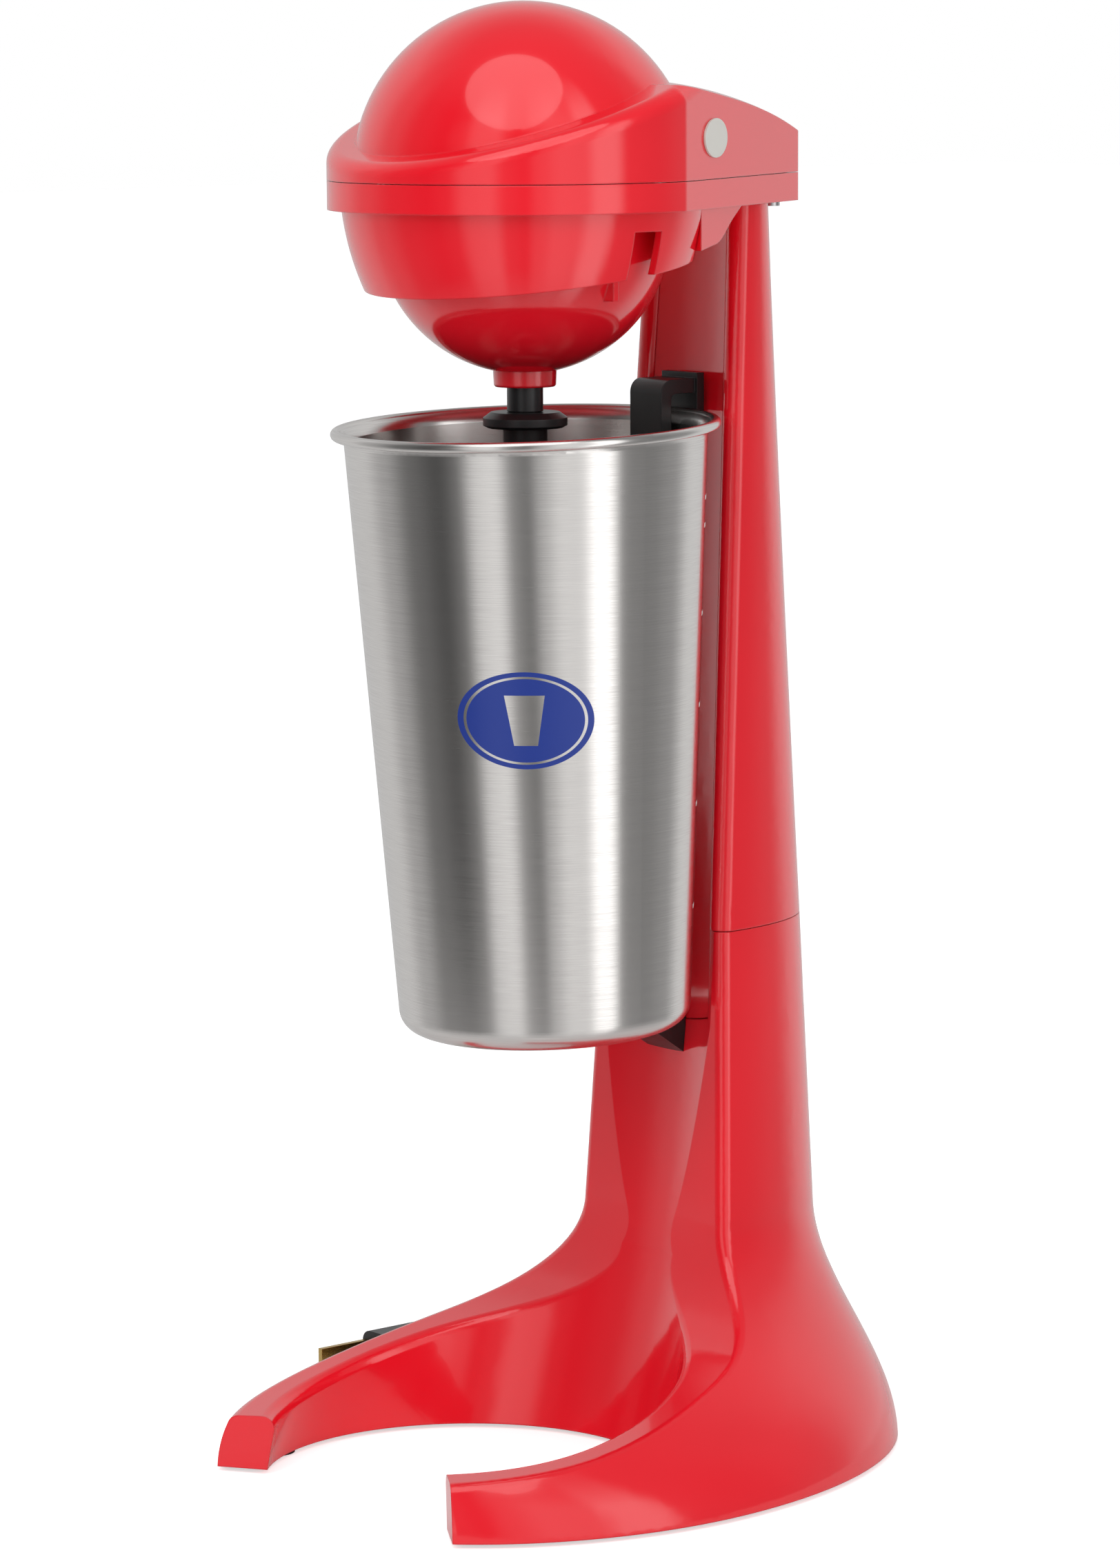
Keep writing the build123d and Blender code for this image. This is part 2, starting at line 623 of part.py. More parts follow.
with BuildPart() as motor_lower_bracket:
    cylinder_at(0, 0, 295.5, 298, 27.3)
    cylinder_at(0, 0, 287.5, 298, 7.5)
    cylinder_at(0, 0, 280, 300, 5.5, Mode.SUBTRACT)
    with PolarLocations(16, 6):
        Cylinder(4, 700, mode=Mode.SUBTRACT)
    for x in (-BOLT_X, BOLT_X):
        cylinder_at(x, 0, 290, 300, 1.6, Mode.SUBTRACT)
        cylinder_at(x, 0, 298, STACK_LOW - 0.05, 3.0)
        cylinder_at(x, 0, 290, 320, 1.6, Mode.SUBTRACT)
save(motor_lower_bracket, "motor_lower_bracket")

with BuildPart() as motor_upper_bracket:
    cylinder_at(0, 0, 348.5, 351, 26.2)
    cylinder_at(0, 0, 348.5, 357, 7.5)
    cylinder_at(0, 0, 340, 360, 5.5, Mode.SUBTRACT)
    with PolarLocations(16, 6, start_angle=30):
        Cylinder(3.6, 800, mode=Mode.SUBTRACT)
    for x in (-BOLT_X, BOLT_X):
        cylinder_at(x, 0, STACK_HIGH + 0.05, 348.5, 2.6)
        cylinder_at(x, 0, 330, 360, 1.6, Mode.SUBTRACT)
save(motor_upper_bracket, "motor_upper_bracket")

for name, low in (("lower_bush", 287.6), ("upper_bush", 348.6)):
    with BuildPart() as bush:
        cylinder_at(0, 0, low, low + 8.2, 5.48)
        cylinder_at(0, 0, low - 1, low + 10, SHAFT_R + RUN, Mode.SUBTRACT)
    save(bush, name)

with BuildPart() as motor_bolts:
    for x in (-BOLT_X, BOLT_X):
        cylinder_at(x, 0, 294.5, 351.05, 1.5)
        cylinder_at(x, 0, 351.05, 353, 2.6)
save(motor_bolts, "motor_bolts")

with BuildPart() as stator_core:
    cylinder_at(0, 0, STACK_LOW, STACK_HIGH, STATOR_R)
    cylinder_at(0, 0, STACK_LOW - 1, STACK_HIGH + 1, BORE_R, Mode.SUBTRACT)
    with PolarLocations(19, 4, start_angle=45):
        Box(4.4, 8.4, 700, mode=Mode.SUBTRACT)
    for x in (-BOLT_X, BOLT_X):
        cylinder_at(x, 0, STACK_LOW - 1, STACK_HIGH + 1, 1.6, Mode.SUBTRACT)
save(stator_core, "stator_core")

with BuildPart() as field_coils:
    # two saddles: a ring segment above and below the stack, joined by legs in the slots
    for low, high in ((STACK_LOW - 4.5, STACK_LOW - 0.3), (STACK_HIGH + 0.3, STACK_HIGH + 4.5)):
        cylinder_at(0, 0, low, high, 21.0)
        cylinder_at(0, 0, low, high, 17.0, Mode.SUBTRACT)
    with Locations((0, 0, (STACK_LOW + STACK_HIGH) / 2)):
        with PolarLocations(19, 4, start_angle=45):
            Box(3.8, 7.6, STACK_HIGH - STACK_LOW + 2)
    box_between((-30, -9, 300), (30, 9, 345), Mode.SUBTRACT)
save(field_coils, "field_coils")


with BuildPart() as motor_mount:
    extrude(head_plan(POST_TOP + 0.05, WALL + 0.4), amount=2.2)
    cylinder_at(0, 0, 320, 326, 45.3, Mode.INTERSECT)
    cylinder_at(0, 0, 320, 326, STATOR_R + 2.5, Mode.SUBTRACT)
    for x, y in MOUNT_SPOTS:
        cylinder_at(x, y, 320, 326, 1.2, Mode.SUBTRACT)
save(motor_mount, "motor_mount")

plate_screws("motor_mount_screws", MOUNT_SPOTS, BAND_BOTTOM + 1, POST_TOP + 2.3, 1.15, 2.2)

with BuildPart() as motor_damper:
    with BuildSketch(Plane.XZ):
        Polygon((STATOR_R, 320.4), (STATOR_R + 4, 320.4), (STATOR_R + 4, 322.0), (STATOR_R + 2.45, 322.0),
                (STATOR_R + 2.45, 324.3), (STATOR_R + 4, 324.3), (STATOR_R + 4, 325.8), (STATOR_R, 325.8),
                align=None)
    revolve(axis=Axis.Z)
save(motor_damper, "motor_damper")

with BuildPart() as armature_core:
    cylinder_at(0, 0, STACK_LOW, STACK_HIGH, BORE_R - 0.5)
    cylinder_at(0, 0, 300, 340, SHAFT_R, Mode.SUBTRACT)
    with PolarLocations(13, 12):
        Box(5.2, 2.0, 700, mode=Mode.SUBTRACT)
    with PolarLocations(15.6, 12):
        Box(1.6, 1.0, 700, mode=Mode.SUBTRACT)
save(armature_core, "armature_core")

WINDING_LOW = 307.0
WINDING_HIGH = 338.6
with BuildPart() as armature_windings:
    for low, high in ((WINDING_LOW, STACK_LOW - 0.1), (STACK_HIGH + 0.1, WINDING_HIGH)):
        cylinder_at(0, 0, low, high, 14.6)
        cylinder_at(0, 0, low, high, 3.6, Mode.SUBTRACT)
    with Locations((0, 0, (STACK_LOW + STACK_HIGH) / 2)):
        with PolarLocations(12.8, 12):
            Box(4.2, 1.7, STACK_HIGH - STACK_LOW + 2)
save(armature_windings, "armature_windings")

with BuildPart() as commutator:
    cylinder_at(0, 0, 339, 347.6, 7.2)
    cylinder_at(0, 0, 338, 349, SHAFT_R, Mode.SUBTRACT)
    with PolarLocations(7.0, 12, start_angle=15):
        Box(1.4, 0.5, 720, mode=Mode.SUBTRACT)
save(commutator, "commutator")

with BuildPart() as carbon_brushes:
    for side in (-1, 1):
        with Locations((0, side * 11.6, 343.4)):
            Box(4.6, 8.6, 5)
save(carbon_brushes, "carbon_brushes")

with BuildPart() as brush_holders:
    for side in (-1, 1):
        with Locations((0, side * 14.4, 344.0)):
            Box(7.4, 11, 8.9)
        with Locations((0, side * 14.0, 343.4)):
            Box(4.8, 12, 5.2, mode=Mode.SUBTRACT)
save(brush_holders, "brush_holders")

with BuildPart() as brush_springs:
    for side in (-1, 1):
        with Locations((0, side * 17.6, 343.4)):
            Box(2.6, 3.2, 2.6)
            Box(1.4, 4, 1.4, mode=Mode.SUBTRACT)
save(brush_springs, "brush_springs")

with BuildPart() as motor_shaft:
    cylinder_at(0, 0, 269.6, 357.6, SHAFT_R)
    chamfer(motor_shaft.edges().filter_by(GeomType.CIRCLE), 0.4)
save(motor_shaft, "motor_shaft")

with BuildPart() as cooling_fan:
    cylinder_at(0, 0, 299.4, 306.2, 6.0)
    cylinder_at(0, 0, 299.4, 300.6, 19.6)
    with Locations((0, 0, 303)):
        with PolarLocations(12.4, 9):
            Box(14, 1.2, 5.6)
    cylinder_at(0, 0, 290, 310, SHAFT_R, Mode.SUBTRACT)
save(cooling_fan, "cooling_fan")

with BuildPart() as drive_coupling:
    cylinder_at(0, 0, FLANGE_Z + 1.8, 276.5, 4.5)
    with BuildSketch(Plane.XY.offset(FLANGE_Z + 1.8)):
        RegularPolygon(HEX_FLATS / 2, 6, major_radius=False)
    extrude(amount=-10.5)
    cylinder_at(0, 0, 269.6, 280, SHAFT_R, Mode.SUBTRACT)
save(drive_coupling, "drive_coupling")

with BuildPart() as shaft_seal:
    cylinder_at(0, 0, 279.5, 282.5, 5.58)
    cylinder_at(0, 0, 279, 283, SHAFT_R + RUN, Mode.SUBTRACT)
save(shaft_seal, "shaft_seal")

# ================================================================ switch and wiring
with BuildPart() as speed_switch_knob:
    with BuildSketch(switch_plane.offset(-3.1)):
        RectangleRounded(9, 8, 1.2)
    extrude(amount=3.6)
    with BuildSketch(switch_plane.offset(-3.1)):
        Rectangle(2.8, 4)
    extrude(amount=-6)
    for step in (-2, 0, 2):
        with Locations(switch_plane.offset(0.5) * Location((0, step, 0))):
            Box(7, 0.9, 0.8, mode=Mode.SUBTRACT)
save(speed_switch_knob, "speed_switch_knob")

with BuildPart() as speed_switch_body:
    with BuildSketch(switch_plane.offset(-14.1)):
        Rectangle(13, 18)
    extrude(amount=8)
    with BuildSketch(switch_plane.offset(-10)):
        Rectangle(3.4, 11.5)
    extrude(amount=8, mode=Mode.SUBTRACT)
save(speed_switch_body, "speed_switch_body")

with BuildPart() as speed_board:
    box_between((-12, 47.5, 323.5), (12, 60.5, 325.1))
    cylinder_at(-7, 53, 325.1, 331, 3.2)
    box_between((-1.5, 50, 325.1), (3.5, 56, 328))
    box_between((6.5, 49, 325.1), (10, 58, 329.5))
    for x in (-9.5, 9.5):
        cylinder_at(x, 49.3, FLOOR_Z + 0.02, 323.5, 1.4)
save(speed_board, "speed_board")

with BuildPart() as wiring_loom:
    with BuildLine():
        run = FilletPolyline((0, 58.5, 327), (0, 66, 327), (0, 68.5, 270), (0, 76, 90), (-16, 80, 22),
                             CORD_SPOT - CORD_WAY * 8, radius=3.0)
    with BuildSketch(Plane(origin=run @ 0, z_dir=run % 0)):
        Circle(1.3)
    sweep()
save(wiring_loom, "wiring_loom")

with BuildPart() as strain_relief:
    with BuildSketch(Plane(origin=CORD_SPOT - CORD_WAY * 5, z_dir=CORD_WAY)):
        Circle(4.1)
    extrude(amount=6)
    with BuildSketch(Plane(origin=CORD_SPOT + CORD_WAY * 1.0, z_dir=CORD_WAY)):
        Circle(5.2)
    extrude(amount=14, taper=6)
    with BuildSketch(Plane(origin=CORD_SPOT - CORD_WAY * 6, z_dir=CORD_WAY)):
        Circle(2.75)
    extrude(amount=30, mode=Mode.SUBTRACT)
save(strain_relief, "strain_relief")

CORD_R = 2.7
CORD_LIE = CORD_R + 0.1
PLUG_Y = 52.0
with BuildPart() as power_cord:
    start = CORD_SPOT - CORD_WAY * 5
    leave = CORD_SPOT + CORD_WAY * 38
    with BuildLine():
        FilletPolyline(start, leave, (-98, 99, CORD_LIE), (-98, PLUG_Y, CORD_LIE), radius=12)
    with BuildSketch(Plane(origin=start, z_dir=CORD_WAY)):
        Circle(CORD_R)
    sweep()
save(power_cord, "power_cord")

with BuildPart() as power_plug:
    box_between((-105.5, PLUG_Y - 24, 0.1), (-90.5, PLUG_Y, 11.1))
    fillet(power_plug.edges().filter_by(Axis.Y), 3)
    with BuildSketch(Plane.XZ.offset(-PLUG_Y)):
        with Locations((-98, CORD_LIE)):
            Circle(CORD_R + 0.02)
    extrude(amount=8, mode=Mode.SUBTRACT)
save(power_plug, "power_plug")

with BuildPart() as plug_blades:
    for x in (-104.5, -93.0):
        box_between((x, PLUG_Y - 40, 2.4), (x + 1.5, PLUG_Y - 24.02, 8.6))
save(plug_blades, "plug_blades")

# ================================================================ plain side plates
flank = Vector(HEAD_REAR_Y - CREASE[1], CREASE[0] - REAR_X, 0).normalized()
with BuildPart() as side_plates:
    for side in (1, -1):
        spot = Vector(side * 38.4, 28.8, 335.5)
        out = Vector(side * flank.X, flank.Y, 0)
        with BuildSketch(Plane(origin=spot + out * 0.02, x_dir=(-side * out.Y, side * out.X, 0), z_dir=out)):
            Ellipse(7.5, 4.8)
        extrude(amount=0.5)
save(side_plates, "side_plates")
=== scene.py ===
"""Milkshake mixer: finishes, stage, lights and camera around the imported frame.

Lengths are in metres unless a comment says millimetres. Z is up and -Y is the mixer's front.
"""
import json
import math

import bmesh
import bpy
from mathutils import Matrix, Vector


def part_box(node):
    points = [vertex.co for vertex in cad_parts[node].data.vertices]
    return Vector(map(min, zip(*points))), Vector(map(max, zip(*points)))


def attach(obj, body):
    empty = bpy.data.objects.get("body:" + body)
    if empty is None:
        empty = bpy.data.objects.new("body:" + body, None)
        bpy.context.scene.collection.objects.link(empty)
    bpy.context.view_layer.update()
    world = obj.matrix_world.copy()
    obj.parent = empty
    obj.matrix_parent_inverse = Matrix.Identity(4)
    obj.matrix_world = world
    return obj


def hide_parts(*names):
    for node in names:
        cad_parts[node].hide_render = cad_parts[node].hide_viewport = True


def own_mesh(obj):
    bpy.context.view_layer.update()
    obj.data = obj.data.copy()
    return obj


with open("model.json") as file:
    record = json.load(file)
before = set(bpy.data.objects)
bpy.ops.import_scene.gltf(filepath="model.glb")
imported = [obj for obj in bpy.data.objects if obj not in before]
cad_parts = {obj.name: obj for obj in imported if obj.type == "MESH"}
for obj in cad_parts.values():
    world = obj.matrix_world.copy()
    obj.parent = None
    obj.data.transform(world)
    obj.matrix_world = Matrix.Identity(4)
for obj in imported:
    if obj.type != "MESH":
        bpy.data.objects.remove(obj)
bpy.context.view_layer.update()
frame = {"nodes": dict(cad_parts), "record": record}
MM = 0.001
MM_PER_METRE = 1000.0


def rgb(red, green, blue):
    return (red, green, blue, 1.0)


def grey(level):
    return rgb(level, level, level)


def darker(colour, share):
    return rgb(*[channel * share for channel in colour])


# ---------------------------------------------------------------- node helpers
class Nodes:
    """Short calls for the shader nodes used here, all made in one node tree."""

    def __init__(self, tree):
        self.tree = tree

    def node(self, kind, **settings):
        made = self.tree.nodes.new(kind)
        for key, value in settings.items():
            setattr(made, key, value)
        return made

    def link(self, source, target):
        self.tree.links.new(source, target)

    def feed(self, target, value):
        """Link another node's output to an input, or give the input a plain value."""
        if isinstance(value, bpy.types.NodeSocket):
            self.link(value, target)
        else:
            target.default_value = value

    def calc(self, operation, a, b=0.0, c=0.0):
        made = self.node("ShaderNodeMath", operation=operation)
        for socket, value in zip(made.inputs, (a, b, c)):
            self.feed(socket, value)
        return made.outputs[0]

    def scaled(self, vector, scale):
        made = self.node("ShaderNodeVectorMath", operation="MULTIPLY")
        self.feed(made.inputs[0], vector)
        made.inputs[1].default_value = scale
        return made.outputs[0]

    def axes(self, vector):
        """The vector's X, Y and Z."""
        made = self.node("ShaderNodeSeparateXYZ")
        self.link(vector, made.inputs[0])
        return made.outputs

    def noise(self, vector, scale, detail=3.0, rough=0.5):
        made = self.node("ShaderNodeTexNoise")
        self.feed(made.inputs["Vector"], vector)
        made.inputs["Scale"].default_value = scale
        made.inputs["Detail"].default_value = detail
        made.inputs["Roughness"].default_value = rough
        return made.outputs["Fac"]

    def span(self, value, low, high, start=0.0, end=1.0):
        """The value's place between low and high, given as a number from start to end."""
        made = self.node("ShaderNodeMapRange")
        for key, setting in (("Value", value), ("From Min", low), ("From Max", high),
                             ("To Min", start), ("To Max", end)):
            self.feed(made.inputs[key], setting)
        return made.outputs[0]

    def mixed(self, share, a, b):
        """Colour a where share is 0, colour b where it is 1."""
        made = self.node("ShaderNodeMix", data_type="RGBA")
        factor, first, second = made.inputs[0], made.inputs[6], made.inputs[7]
        self.feed(factor, share)
        self.feed(first, a)
        self.feed(second, b)
        return made.outputs[2]

    def ray(self, question):
        """One answer of the light path, such as Is Camera Ray."""
        return self.node("ShaderNodeLightPath").outputs[question]


class Finish(Nodes):
    """A new material round one Principled shader; place is a point in the piece's own space."""

    def __init__(self, name):
        self.material = bpy.data.materials.new(name)
        self.material.use_nodes = True
        super().__init__(self.material.node_tree)
        self.tree.nodes.clear()
        self.surface = self.node("ShaderNodeOutputMaterial").inputs["Surface"]
        self.shader = self.node("ShaderNodeBsdfPrincipled")
        self.link(self.shader.outputs[0], self.surface)
        self.place = self.node("ShaderNodeTexCoord").outputs["Object"]

    def set(self, **inputs):
        """Set the shader's inputs, named with underscores for spaces."""
        for key, value in inputs.items():
            self.feed(self.shader.inputs[key.replace("_", " ")], value)

    def bump(self, height, strength, distance, normal=None):
        made = self.node("ShaderNodeBump")
        made.inputs["Strength"].default_value = strength
        made.inputs["Distance"].default_value = distance
        self.feed(made.inputs["Height"], height)
        if normal is not None:
            self.link(normal, made.inputs["Normal"])
        return made.outputs[0]

    def soft_edge(self, radius):
        made = self.node("ShaderNodeBevel", samples=6)
        made.inputs["Radius"].default_value = radius
        return made.outputs[0]


# ---------------------------------------------------------------- finishes
def moulded(name, colour, dark, rough, edge, grain, grain_depth, coat=0.0):
    """Injection-moulded plastic: slow colour drift, faint flow marks and a fine skin texture."""
    g = Finish(name)
    drift = g.noise(g.place, scale=14.0, detail=2.0)
    smudge = g.noise(g.scaled(g.place, (1.0, 1.0, 0.35)), scale=60.0, detail=4.0, rough=0.6)
    skin = g.noise(g.place, scale=grain, detail=2.0)
    g.set(Base_Color=g.mixed(g.span(drift, low=0.3, high=0.7), rgb(*colour), rgb(*dark)),
          Roughness=g.span(smudge, low=0.3, high=0.75, start=rough * 0.85, end=rough * 1.25),
          Coat_Weight=coat, Coat_Roughness=0.03,
          Normal=g.bump(skin, strength=grain_depth, distance=0.1 * MM, normal=g.soft_edge(edge)))
    return g.material


def streaked(name, colour, rough, lines, variation=0.12):
    """Metal with streaks along one direction: lines is the texture's stretch along X, Y and Z."""
    g = Finish(name)
    streak = g.noise(g.scaled(g.place, lines), scale=1.0, detail=4.0, rough=0.6)
    blotch = g.noise(g.place, scale=45.0)
    shade = g.span(blotch, low=0.3, high=0.7)
    g.set(Base_Color=g.mixed(shade, rgb(*colour), darker(colour, 1 - variation)), Metallic=1.0,
          Roughness=g.span(streak, low=0.25, high=0.75, start=rough * 0.8, end=rough * 1.25),
          Normal=g.bump(streak, strength=0.12, distance=0.05 * MM, normal=g.soft_edge(0.25 * MM)))
    return g.material


def wound(name, colour, pitch):
    """Enamelled wire laid side by side, its colour darkened in the grooves between turns as painted shade."""
    g = Finish(name)
    wave = g.node("ShaderNodeTexWave", wave_type="BANDS", bands_direction="Z")
    g.link(g.place, wave.inputs["Vector"])
    wave.inputs["Scale"].default_value = 1.0 / pitch
    wave.inputs["Distortion"].default_value = 0.6
    turns_and_groove_shade = wave.outputs["Fac"]
    # painted shade: the colour falls to 0.35 of the wire's own colour in the grooves between the turns, where
    # the bump also sinks
    g.set(Base_Color=g.mixed(turns_and_groove_shade, darker(colour, 0.35), rgb(*colour)), Metallic=0.85, Roughness=0.3,
          Normal=g.bump(turns_and_groove_shade, strength=0.6, distance=0.3 * MM))
    return g.material


def laminated(name, colour, thickness=0.5):
    """Stacked steel sheets, their thickness in millimetres."""
    g = Finish(name)
    height = g.calc("MULTIPLY", g.axes(g.place)[2], MM_PER_METRE)
    line = g.span(g.calc("PINGPONG", height, thickness / 2), low=0.0, high=0.06)
    g.set(Base_Color=g.mixed(line, darker(colour, 0.3), rgb(*colour)), Metallic=0.9, Roughness=0.42,
          Normal=g.bump(line, strength=0.4, distance=0.1 * MM))
    return g.material


# ---------------------------------------------------------------- cup
# The cup's foot hangs in towards the column: its axis tilts about this height, near the rim.
RIM_Z = 0.264
CUP_LEAN = math.tan(math.radians(2.0))
# Height and radius of about the middle of the wall's thickness, at the foot and at the rim.
WALL_FOOT_Z, WALL_FOOT_R = 0.114, 0.0361
WALL_RIM_Z, WALL_RIM_R = 0.262, 0.0447

# The print is in millimetres: heights above the bench, and lengths round the cup at PRINT_R.
PRINT_R = 41.0
EMBLEM_ANGLE = math.radians(-43.0)
EMBLEM_Z = 196.0
EMBLEM_HALF_WIDTH = 17.0
EMBLEM_HALF_HEIGHT = 12.0
# The ring of bare steel, as the square of its distance out when the oval's edge is at 1.
RING_INNER, RING_OUTER = 0.74, 0.82
TUMBLER_HALF_WIDTH = 3.9
TUMBLER_FLARE = 0.16
TUMBLER_HALF_HEIGHT = 6.2
MARK_ANGLE = math.radians(47.0)
MARK_LEVELS = (144.0, 170.0, 195.0, 218.0, 240.0, 247.0)
MARK_HALF_LENGTH = 3.4
MARK_HALF_HEIGHT = 0.55
PRINT_ROUGHNESS = 0.4
PRINT_BLUE = rgb(0.008, 0.035, 0.28)
PRINT_WHITE = rgb(0.85, 0.85, 0.84)
STEEL = rgb(0.70, 0.68, 0.66)
STEEL_LINES = rgb(0.58, 0.56, 0.545)
STEEL_BANDS = rgb(0.52, 0.50, 0.49)


def brushing(g, angle, height, round_scale, height_scale, detail, rough):
    """Noise drawn out round the cup: the lower round_scale, the longer the streaks."""
    place = g.node("ShaderNodeCombineXYZ")
    g.link(g.calc("MULTIPLY", angle, round_scale), place.inputs["X"])
    g.link(g.calc("MULTIPLY", height, height_scale), place.inputs["Y"])
    return g.noise(place.outputs[0], scale=1.0, detail=detail, rough=rough)


def beyond(g, angle, centre):
    """Length round the cup from a centre angle, in millimetres."""
    return g.calc("MULTIPLY", g.calc("SUBTRACT", angle, centre), PRINT_R)


def within(g, value, limit):
    """1 where the value is closer to zero than the limit."""
    return g.calc("LESS_THAN", g.calc("ABSOLUTE", value), limit)


def emblem(g, angle, height):
    """Plain oval with a bare ring and a bare tumbler shape inside it."""
    across = beyond(g, angle, EMBLEM_ANGLE)
    along = g.calc("SUBTRACT", height, EMBLEM_Z)
    oval = g.calc("ADD", g.calc("POWER", g.calc("DIVIDE", across, EMBLEM_HALF_WIDTH), 2.0),
                  g.calc("POWER", g.calc("DIVIDE", along, EMBLEM_HALF_HEIGHT), 2.0))
    disc = g.calc("LESS_THAN", oval, 1.0)
    ring = g.calc("MULTIPLY", g.calc("GREATER_THAN", oval, RING_INNER), g.calc("LESS_THAN", oval, RING_OUTER))
    half_width = g.calc("MULTIPLY_ADD", along, TUMBLER_FLARE, TUMBLER_HALF_WIDTH)
    tumbler = g.calc("MULTIPLY", within(g, across, half_width), within(g, along, TUMBLER_HALF_HEIGHT))
    return g.calc("MULTIPLY", disc, g.calc("SUBTRACT", 1.0, g.calc("MAXIMUM", ring, tumbler)))


def filling_marks(g, angle, height):
    """Short dashes one above another."""
    column = within(g, beyond(g, angle, MARK_ANGLE), MARK_HALF_LENGTH)
    marks = 0.0
    for level in MARK_LEVELS:
        line = within(g, g.calc("SUBTRACT", height, level), MARK_HALF_HEIGHT)
        marks = g.calc("MAXIMUM", marks, g.calc("MULTIPLY", line, column))
    return marks


def outer_face(g, x, y, z):
    """1 outside the middle of the wall's thickness, so that the print is not repeated inside the cup."""
    distance_squared = g.calc("ADD", g.calc("MULTIPLY", x, x), g.calc("MULTIPLY", y, y))
    middle = g.span(z, WALL_FOOT_Z, WALL_RIM_Z, WALL_FOOT_R, WALL_RIM_R)
    return g.calc("GREATER_THAN", distance_squared, g.calc("POWER", middle, 2.0))


def brushed_cup(name):
    """Stainless steel brushed round the cup, with printed filling marks and a plain tumbler emblem."""
    g = Finish(name)
    x, y, z = g.axes(g.place)
    y = g.calc("MULTIPLY_ADD", g.calc("SUBTRACT", z, RIM_Z), CUP_LEAN, y)
    height = g.calc("MULTIPLY", z, MM_PER_METRE)
    angle = g.calc("ARCTAN2", y, x)

    fine = brushing(g, angle, height, round_scale=2.2, height_scale=5.5, detail=3.0, rough=0.65)
    broad = brushing(g, angle, height, round_scale=1.1, height_scale=0.5, detail=4.0, rough=0.6)
    steel = g.mixed(g.span(fine, low=0.3, high=0.7), STEEL, STEEL_LINES)
    steel = g.mixed(g.span(broad, low=0.3, high=0.7, end=0.2), steel, STEEL_BANDS)

    outside = outer_face(g, x, y, z)
    blue = g.calc("MULTIPLY", emblem(g, angle, height), outside)
    marks = g.calc("MULTIPLY", filling_marks(g, angle, height), outside)
    printed = g.calc("MAXIMUM", blue, marks)
    colour = g.mixed(marks, g.mixed(blue, steel, PRINT_BLUE), PRINT_WHITE)
    tangent = g.node("ShaderNodeTangent", direction_type="RADIAL", axis="Z")
    g.set(Base_Color=colour, Metallic=g.calc("SUBTRACT", 1.0, printed),
          Roughness=g.calc("MAXIMUM", g.span(fine, low=0.25, high=0.75, start=0.16, end=0.28),
                           g.calc("MULTIPLY", printed, PRINT_ROUGHNESS)),
          Anisotropic=0.6, Anisotropic_Rotation=0.25, Tangent=tangent.outputs[0],
          Normal=g.bump(fine, strength=0.05, distance=0.03 * MM, normal=g.soft_edge(0.2 * MM)))
    return g.material


# ---------------------------------------------------------------- finish of each material slot
MOULDED = {
    "red_gloss": dict(colour=(0.95, 0.010, 0.024), dark=(0.88, 0.008, 0.020), rough=0.12,
                      edge=0.7 * MM, grain=700.0, grain_depth=0.006, coat=0.5),
    "black_satin": dict(colour=(0.014, 0.014, 0.015), dark=(0.008, 0.008, 0.009), rough=0.34,
                        edge=0.3 * MM, grain=2200.0, grain_depth=0.12),
    "white_nylon": dict(colour=(0.72, 0.71, 0.66), dark=(0.64, 0.62, 0.56), rough=0.42,
                        edge=0.3 * MM, grain=1500.0, grain_depth=0.06),
    "rubber": dict(colour=(0.022, 0.022, 0.022), dark=(0.012, 0.012, 0.012), rough=0.62,
                   edge=0.4 * MM, grain=3000.0, grain_depth=0.3),
    "graphite": dict(colour=(0.045, 0.045, 0.05), dark=(0.025, 0.025, 0.028), rough=0.5,
                     edge=0.2 * MM, grain=3500.0, grain_depth=0.4),
    "board_green": dict(colour=(0.02, 0.16, 0.07), dark=(0.015, 0.12, 0.05), rough=0.4,
                        edge=0.1 * MM, grain=2500.0, grain_depth=0.3),
    "cream_enamel": dict(colour=(0.74, 0.72, 0.66), dark=(0.68, 0.66, 0.60), rough=0.25,
                         edge=0.2 * MM, grain=900.0, grain_depth=0.02, coat=0.4),
}
STREAKED = {
    "screw_steel": dict(colour=(0.56, 0.56, 0.57), rough=0.28, lines=(900.0, 900.0, 5000.0)),
    "cast_aluminium": dict(colour=(0.6, 0.6, 0.61), rough=0.5, lines=(2500.0, 2500.0, 2500.0)),
    "zinc_plate": dict(colour=(0.5, 0.51, 0.53), rough=0.36, lines=(3000.0, 200.0, 3000.0), variation=0.22),
    "brass": dict(colour=(0.62, 0.44, 0.16), rough=0.26, lines=(300.0, 300.0, 6000.0)),
}
FINISHES = {name: moulded(name, **look) for name, look in MOULDED.items()}
FINISHES.update({name: streaked(name, **look) for name, look in STREAKED.items()})
FINISHES["brushed_cup"] = brushed_cup("brushed_cup")
FINISHES["lamination"] = laminated("lamination", colour=(0.2, 0.2, 0.21))
FINISHES["copper_wire"] = wound("copper_wire", colour=(0.62, 0.24, 0.08), pitch=0.9 * MM)

slot_of = {part["node"]: part["material_slot"] for part in frame["record"]["subparts"]}
for node, piece in frame["nodes"].items():
    piece.data.materials.clear()
    piece.data.materials.append(FINISHES[slot_of[node]])


# ---------------------------------------------------------------- interlock spring
WIRE_R = 0.28 * MM
COIL_TURNS = 9
STEPS_PER_TURN = 20
WIRE_SIDES = 8


